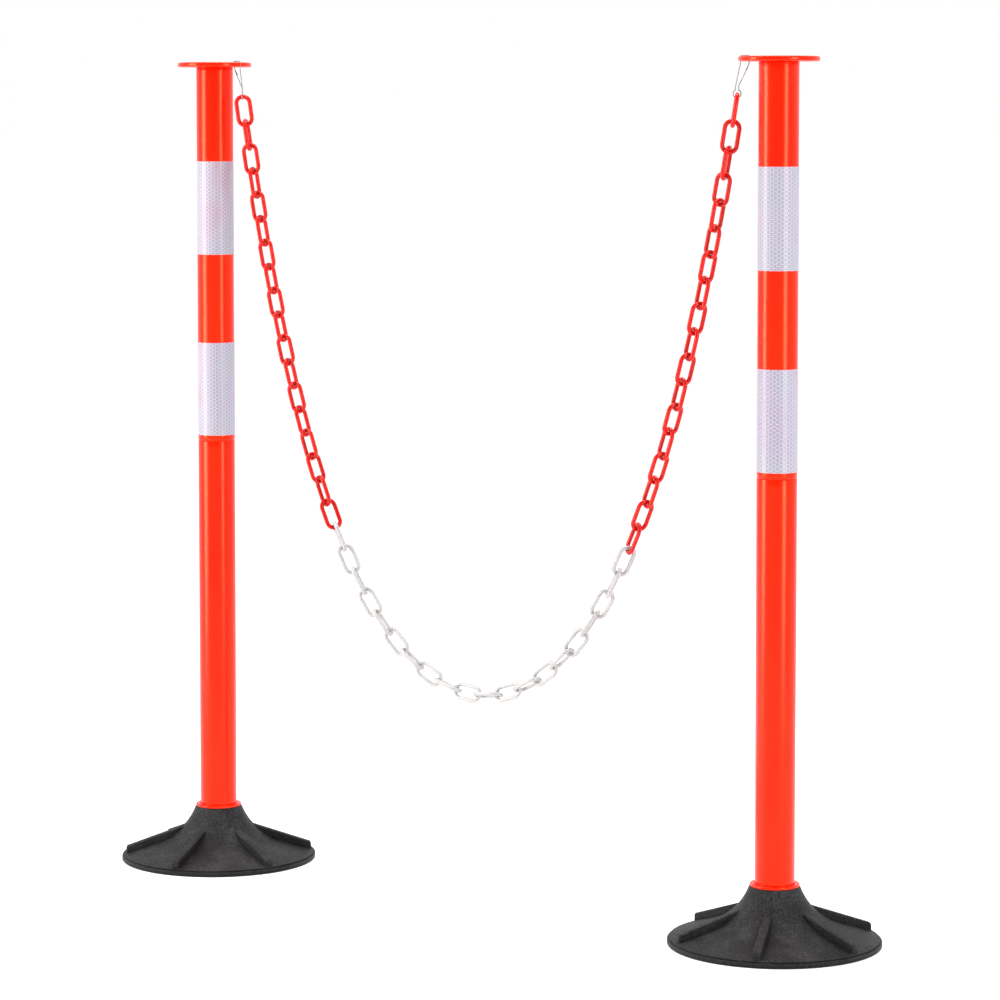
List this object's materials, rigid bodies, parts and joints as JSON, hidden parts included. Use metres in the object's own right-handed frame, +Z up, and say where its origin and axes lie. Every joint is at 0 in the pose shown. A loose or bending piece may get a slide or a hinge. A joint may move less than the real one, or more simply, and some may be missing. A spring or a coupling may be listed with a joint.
{
  "type": "plastic chain stanchion",
  "caption": "Free-standing barrier of tube posts in round ribbed rubber bases, with reflective bands, disc caps and wire hooks that hold one hanging plastic chain.",
  "frame": {"origin": "on the floor, midway between the posts: the centre of the bounding box's bottom", "axes": "+Z up along the posts, +X from the left post to the right post, -Y towards the front, where the chain hangs a little forward"},
  "size_m": [1.156, 0.266, 1.0969],
  "materials": {
    "rubber": "grained, matte",
    "orange_plastic": "gloss, fluorescent orange-red",
    "reflective_sheeting": "honeycomb reflective film",
    "spring_wire": "bright drawn wire",
    "red_plastic": "gloss, moulded",
    "white_plastic": "gloss, moulded, slightly translucent"
  },
  "bodies": {
    "bases": {"left_rubber_base": "rubber", "left_socket_collar": "orange_plastic", "right_rubber_base": "rubber", "right_socket_collar": "orange_plastic"},
    "left_post": {"left_lower_tube": "orange_plastic", "left_tube_coupler": "orange_plastic", "left_upper_tube": "orange_plastic", "left_lower_band": "reflective_sheeting", "left_upper_band": "reflective_sheeting", "left_disc_cap": "orange_plastic"},
    "left_hook": {"left_wire_hook": "spring_wire"},
    "right_post": {"right_lower_tube": "orange_plastic", "right_tube_coupler": "orange_plastic", "right_upper_tube": "orange_plastic", "right_lower_band": "reflective_sheeting", "right_upper_band": "reflective_sheeting", "right_disc_cap": "orange_plastic"},
    "right_hook": {"right_wire_hook": "spring_wire"},
    "chain": {"red_links_left": "red_plastic", "white_links": "white_plastic", "red_links_right": "red_plastic"},
    "link_02": {"link_02": "red_plastic"},
    "link_04": {"link_04": "red_plastic"},
    "link_06": {"link_06": "red_plastic"},
    "link_08": {"link_08": "red_plastic"},
    "link_10": {"link_10": "red_plastic"},
    "link_12": {"link_12": "red_plastic"},
    "link_14": {"link_14": "red_plastic"},
    "link_16": {"link_16": "red_plastic"},
    "link_18": {"link_18": "red_plastic"},
    "link_20": {"link_20": "white_plastic"},
    "link_22": {"link_22": "white_plastic"},
    "link_24": {"link_24": "white_plastic"},
    "link_26": {"link_26": "white_plastic"},
    "link_28": {"link_28": "white_plastic"},
    "link_30": {"link_30": "white_plastic"},
    "link_32": {"link_32": "white_plastic"},
    "link_34": {"link_34": "white_plastic"},
    "link_36": {"link_36": "white_plastic"},
    "link_38": {"link_38": "white_plastic"},
    "link_40": {"link_40": "red_plastic"},
    "link_42": {"link_42": "red_plastic"},
    "link_44": {"link_44": "red_plastic"},
    "link_46": {"link_46": "red_plastic"},
    "link_48": {"link_48": "red_plastic"},
    "link_50": {"link_50": "red_plastic"},
    "link_52": {"link_52": "red_plastic"},
    "link_54": {"link_54": "red_plastic"},
    "link_56": {"link_56": "red_plastic"}
  },
  "joints": [
    {"name": "left_post_lift", "type": "slide", "parent": "bases", "child": "left_post", "axis": [0, 0, 1], "range_m": [0, 0.06]},
    {"name": "right_post_lift", "type": "slide", "parent": "bases", "child": "right_post", "axis": [0, 0, 1], "range_m": [0, 0.06]},
    {"name": "left_hook_swing", "type": "hinge", "parent": "left_post", "child": "left_hook", "pos_m": [-0.40029, -0.00628, 1.0963], "axis": [1, 0, 0], "range_deg": [-12, 12]},
    {"name": "right_hook_swing", "type": "hinge", "parent": "right_post", "child": "right_hook", "pos_m": [0.40029, -0.00628, 1.0963], "axis": [1, 0, 0], "range_deg": [-12, 12]},
    {"name": "chain_swing", "type": "hinge", "parent": "left_hook", "child": "chain", "pos_m": [-0.39004, -0.00772, 1.0477], "axis": [1, 0, 0], "range_deg": [-15, 15]},
    {"name": "link_02_roll", "type": "hinge", "parent": "chain", "child": "link_02", "pos_m": [-0.38142, -0.00772, 0.99691], "axis": [0.1789, 0, -0.9839], "range_deg": [-8, 8]},
    {"name": "link_04_roll", "type": "hinge", "parent": "chain", "child": "link_04", "pos_m": [-0.36919, -0.00772, 0.93226], "axis": [0.193, 0, -0.9812], "range_deg": [-8, 8]},
    {"name": "link_06_roll", "type": "hinge", "parent": "chain", "child": "link_06", "pos_m": [-0.35596, -0.00772, 0.8678], "axis": [0.2095, 0, -0.9778], "range_deg": [-8, 8]},
    {"name": "link_08_roll", "type": "hinge", "parent": "chain", "child": "link_08", "pos_m": [-0.34155, -0.00772, 0.8036], "axis": [0.2289, 0, -0.9735], "range_deg": [-8, 8]},
    {"name": "link_10_roll", "type": "hinge", "parent": "chain", "child": "link_10", "pos_m": [-0.32574, -0.00772, 0.73973], "axis": [0.2521, 0, -0.9677], "range_deg": [-8, 8]},
    {"name": "link_12_roll", "type": "hinge", "parent": "chain", "child": "link_12", "pos_m": [-0.30825, -0.00772, 0.6763], "axis": [0.2804, 0, -0.9599], "range_deg": [-8, 8]},
    {"name": "link_14_roll", "type": "hinge", "parent": "chain", "child": "link_14", "pos_m": [-0.28867, -0.00772, 0.61349], "axis": [0.3155, 0, -0.9489], "range_deg": [-8, 8]},
    {"name": "link_16_roll", "type": "hinge", "parent": "chain", "child": "link_16", "pos_m": [-0.2665, -0.00772, 0.55155], "axis": [0.3599, 0, -0.933], "range_deg": [-8, 8]},
    {"name": "link_18_roll", "type": "hinge", "parent": "chain", "child": "link_18", "pos_m": [-0.24099, -0.00772, 0.49091], "axis": [0.4173, 0, -0.9088], "range_deg": [-8, 8]},
    {"name": "link_20_roll", "type": "hinge", "parent": "chain", "child": "link_20", "pos_m": [-0.21112, -0.00772, 0.43233], "axis": [0.4935, 0, -0.8697], "range_deg": [-8, 8]},
    {"name": "link_22_roll", "type": "hinge", "parent": "chain", "child": "link_22", "pos_m": [-0.17541, -0.00772, 0.37715], "axis": [0.5961, 0, -0.8029], "range_deg": [-8, 8]},
    {"name": "link_24_roll", "type": "hinge", "parent": "chain", "child": "link_24", "pos_m": [-0.13188, -0.00772, 0.32801], "axis": [0.7315, 0, -0.6818], "range_deg": [-8, 8]},
    {"name": "link_26_roll", "type": "hinge", "parent": "chain", "child": "link_26", "pos_m": [-0.07864, -0.00772, 0.28996], "axis": [0.8882, 0, -0.4595], "range_deg": [-8, 8]},
    {"name": "link_28_roll", "type": "hinge", "parent": "chain", "child": "link_28", "pos_m": [-0.01633, -0.00772, 0.27099], "axis": [0.9947, 0, -0.1028], "range_deg": [-8, 8]},
    {"name": "link_30_roll", "type": "hinge", "parent": "chain", "child": "link_30", "pos_m": [0.04836, -0.00772, 0.27755], "axis": [0.9551, 0, 0.2963], "range_deg": [-8, 8]},
    {"name": "link_32_roll", "type": "hinge", "parent": "chain", "child": "link_32", "pos_m": [0.10654, -0.00772, 0.30716], "axis": [0.8098, 0, 0.5867], "range_deg": [-8, 8]},
    {"name": "link_34_roll", "type": "hinge", "parent": "chain", "child": "link_34", "pos_m": [0.15476, -0.00772, 0.35158], "axis": [0.6596, 0, 0.7516], "range_deg": [-8, 8]},
    {"name": "link_36_roll", "type": "hinge", "parent": "chain", "child": "link_36", "pos_m": [0.19411, -0.00772, 0.40419], "axis": [0.541, 0, 0.841], "range_deg": [-8, 8]},
    {"name": "link_38_roll", "type": "hinge", "parent": "chain", "child": "link_38", "pos_m": [0.22668, -0.00772, 0.4613], "axis": [0.4527, 0, 0.8917], "range_deg": [-8, 8]},
    {"name": "link_40_roll", "type": "hinge", "parent": "chain", "child": "link_40", "pos_m": [0.25422, -0.00772, 0.52103], "axis": [0.3867, 0, 0.9222], "range_deg": [-8, 8]},
    {"name": "link_42_roll", "type": "hinge", "parent": "chain", "child": "link_42", "pos_m": [0.27795, -0.00772, 0.58239], "axis": [0.3363, 0, 0.9418], "range_deg": [-8, 8]},
    {"name": "link_44_roll", "type": "hinge", "parent": "chain", "child": "link_44", "pos_m": [0.29875, -0.00772, 0.64481], "axis": [0.297, 0, 0.9549], "range_deg": [-8, 8]},
    {"name": "link_46_roll", "type": "hinge", "parent": "chain", "child": "link_46", "pos_m": [0.31723, -0.00772, 0.70795], "axis": [0.2656, 0, 0.9641], "range_deg": [-8, 8]},
    {"name": "link_48_roll", "type": "hinge", "parent": "chain", "child": "link_48", "pos_m": [0.33384, -0.00772, 0.77162], "axis": [0.24, 0, 0.9708], "range_deg": [-8, 8]},
    {"name": "link_50_roll", "type": "hinge", "parent": "chain", "child": "link_50", "pos_m": [0.34891, -0.00772, 0.83567], "axis": [0.2187, 0, 0.9758], "range_deg": [-8, 8]},
    {"name": "link_52_roll", "type": "hinge", "parent": "chain", "child": "link_52", "pos_m": [0.36271, -0.00772, 0.9], "axis": [0.2009, 0, 0.9796], "range_deg": [-8, 8]},
    {"name": "link_54_roll", "type": "hinge", "parent": "chain", "child": "link_54", "pos_m": [0.37542, -0.00772, 0.96456], "axis": [0.1857, 0, 0.9826], "range_deg": [-8, 8]},
    {"name": "link_56_roll", "type": "hinge", "parent": "chain", "child": "link_56", "pos_m": [0.3872, -0.00772, 1.0293], "axis": [0.1726, 0, 0.985], "range_deg": [-8, 8]}
  ],
  "couplings": [
    {"joint": "right_post_lift", "follows": "left_post_lift", "ratio": 1},
    {"joint": "right_hook_swing", "follows": "left_hook_swing", "ratio": 1}
  ]
}
